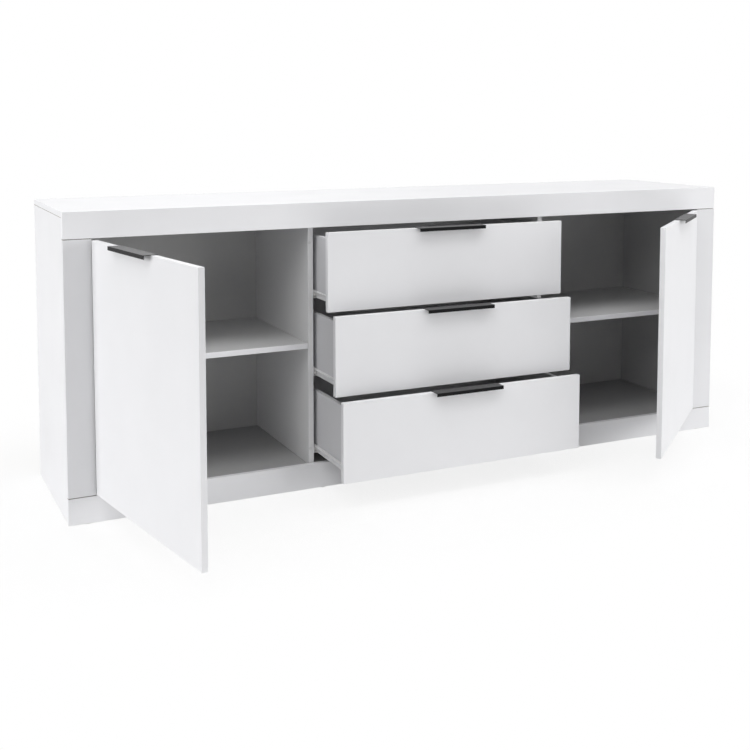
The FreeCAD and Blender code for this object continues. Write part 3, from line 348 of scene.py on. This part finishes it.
# the cabinet's floor board gets the dark painted shade tone
FINISH_OF["floor_panel"] = laminate("floor_laminate", FLOOR_BOARD_SHADE)
back_low, back_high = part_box("back_panels")
back_middle = (back_low.y + back_high.y) / 2
FINISH_OF["back_panels"] = hardboard("back_hardboard", bare=("Y", 1, back_middle))
# the dividers get the greyer painted shade tone
for name in ("divider_left", "divider_right"):
    FINISH_OF[name] = laminate(name + "_laminate", DIVIDER_SHADE)
# the sides' inner faces get the painted inside shade
for side, sign in (("left", 1), ("right", -1)):
    # dark chips at the sides' top edge: raw board and painted seam shade
    FINISH_OF[f"side_panel_{side}"] = laminate(
        f"{side}_side_laminate", WHITE, shaded_inside=("X", sign, -side_inner), raw=[[over_sides]])
    # pilasters in the darker painted shade tone; dark chips at their ends are raw board and painted seam
    # shade
    low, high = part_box(f"pilaster_{side}")
    FINISH_OF[f"pilaster_{side}"] = laminate(
        f"{side}_pilaster_shaded_laminate", PILASTER_SHADE,
        raw=[[("Z", 1, high.z - JOINT / 2)], [("Z", -1, -low.z - JOINT / 2)]])
# the top's underside gets the painted inside shade; dark chips at its bottom outer corners are raw board
# and painted seam shade
FINISH_OF["top_panel"] = laminate(
    "top_laminate", WHITE, shaded_inside=("Z", -1, -top_under),
    raw=[[("Z", -1, -side_high.z - JOINT), end] for end in outer_ends])
# the fascia in the lighter painted light tone; dark chips at its ends over the pilasters are raw board
# and painted seam shade
FINISH_OF["fascia_rail"] = laminate(
    "fascia_lit_laminate", FASCIA_LIT,
    raw=[[("Z", -1, -fascia_low.z - JOINT / 2), end] for end in over_pilasters])
# the plinth's top ends over the pilasters get dark chips: raw board and painted seam shade
FINISH_OF["plinth_rail"] = laminate(
    "plinth_laminate", WHITE,
    raw=[[("Z", 1, plinth_high.z - JOINT / 2), end] for end in over_pilasters])
for name, node in NODES.items():
    node.data.materials.clear()
    node.data.materials.append(FINISH_OF[name])


# ---------------------------------------------------------------- stage, light and camera

AMBIENT = 0.03
SOFTBOX_DISTANCE = 5.5
LOW_ELEVATION = 30  # degrees; softboxes up to here give no gloss, so that the sides stay readable
# name, azimuth and elevation in degrees, width and height in metres, power in watts
SOFTBOXES = (
    ("left_low", -95, 12, 3.2, 2.2, 132),
    ("front_left", -45, 36, 3.2, 2.6, 52),
    ("left_high", -55, 58, 2.6, 2.0, 54),
    ("front_high", -10, 64, 3.2, 2.0, 41),
    ("front_low", 25, 8, 3.2, 1.6, 66),
    ("right_front_high", 45, 58, 2.6, 2.0, 69),
    ("front_right", 60, 14, 3.2, 2.0, 61),
    ("right_high", 90, 60, 2.6, 2.6, 20),
    ("right", 95, 24, 3.2, 2.6, 32),
    ("rear", 180, 42, 4.0, 2.6, 84),
)


def background():
    """White behind everything, a much dimmer soft light from all round."""
    world = bpy.data.worlds.new("studio")
    bpy.context.scene.world = world
    world.use_nodes = True
    tree = world.node_tree
    tree.nodes.clear()
    path = tree.nodes.new("ShaderNodeLightPath")
    seen = tree.nodes.new("ShaderNodeMath")
    seen.operation = "MAXIMUM"
    tree.links.new(path.outputs["Is Camera Ray"], seen.inputs[0])
    tree.links.new(path.outputs["Is Glossy Ray"], seen.inputs[1])
    shine = tree.nodes.new("ShaderNodeMapRange")
    shine.inputs["To Min"].default_value = AMBIENT
    shine.inputs["To Max"].default_value = 1.0
    tree.links.new(seen.outputs[0], shine.inputs["Value"])
    light = tree.nodes.new("ShaderNodeBackground")
    light.inputs["Color"].default_value = (1.0, 1.0, 1.0, 1.0)
    tree.links.new(shine.outputs[0], light.inputs["Strength"])
    out = tree.nodes.new("ShaderNodeOutputWorld")
    tree.links.new(light.outputs[0], out.inputs["Surface"])


def softbox(name, target, azimuth, elevation, distance, width, height, power):
    """A rectangular light that looks at target. Azimuth 0 is in front, 90 to the right."""
    turn = math.radians(azimuth)
    rise = math.radians(elevation)
    away = Vector((math.sin(turn) * math.cos(rise), -math.cos(turn) * math.cos(rise), math.sin(rise)))
    data = bpy.data.lights.new(name, "AREA")
    data.shape = "RECTANGLE"
    data.size = width
    data.size_y = height
    data.energy = power
    lamp = bpy.data.objects.new(name, data)
    lamp.location = target + away * distance
    lamp.rotation_euler = (-away).to_track_quat("-Z", "Y").to_euler()
    bpy.context.scene.collection.objects.link(lamp)
    return lamp


background()
middle = Vector((0.0, 0.0, cad_high.z / 2))
for name, azimuth, elevation, width, height, power in SOFTBOXES:
    lamp = softbox(name, middle, azimuth, elevation, SOFTBOX_DISTANCE, width, height, power)
    lamp.visible_glossy = elevation > LOW_ELEVATION


FLOOR_HALF = 9.0
FLOOR_DROP = 0.0002
# the floor's most alpha, and where it starts and ends its fade, in metres from the cabinet's foot
LIGHT_FADE = (1.0, 1.0, 2.6)
SIGHT_FADE = (0.18, 0.0, 0.75)


def floor():
    """A pale sheet under the cabinet that fades out into the white behind it."""
    mesh = bpy.data.meshes.new("floor")
    corners = [(x * FLOOR_HALF, y * FLOOR_HALF, 0) for x, y in ((-1, -1), (1, -1), (1, 1), (-1, 1))]
    mesh.from_pydata(corners, [], [(0, 1, 2, 3)])
    sheet = bpy.data.objects.new("floor", mesh)
    sheet.location.z = cad_low.z - FLOOR_DROP
    bpy.context.scene.collection.objects.link(sheet)
    s = Shader("pale_floor")
    s.set(Roughness=0.8, Specular_IOR_Level=0.0)
    in_sight = s.add("ShaderNodeLightPath").outputs["Is Camera Ray"]
    s.feed(Base_Color=s.colours(in_sight, (0.9, 0.9, 0.9), (0.98, 0.98, 0.98), 0.0, 1.0))
    past_foot = s.vector("SUBTRACT", s.vector("ABSOLUTE", s.place), (cad_high.x, cad_high.y, 0.0))
    reach = s.vector("LENGTH", s.vector("MAXIMUM", past_foot), result="Value")
    fades = [s.spread(reach, most, 0.0, start, end, "SMOOTHSTEP")
             for most, start, end in (LIGHT_FADE, SIGHT_FADE)]
    s.feed(Alpha=s.mixed(in_sight, *fades, kind="FLOAT"))
    mesh.materials.append(s.material)


floor()

CAMERA_PLACE = Vector((-1.5021, -3.0064, 1.0400))
CAMERA_TURN = 25.347  # degrees to the right of straight ahead
CAMERA_DIP = 4.564  # degrees below level
CAMERA_LENS = 53.641
CAMERA_SHIFT = -0.235
SENSOR = 36.0
view = bpy.data.cameras.new("view")
view.lens = CAMERA_LENS
view.sensor_width = SENSOR
view.shift_y = CAMERA_SHIFT
camera = bpy.data.objects.new("view", view)
camera.location = CAMERA_PLACE
camera.rotation_euler = (math.radians(90 - CAMERA_DIP), 0.0, math.radians(-CAMERA_TURN))
bpy.context.scene.collection.objects.link(camera)
bpy.context.scene.camera = camera
bpy.context.scene.view_settings.view_transform = "Standard"
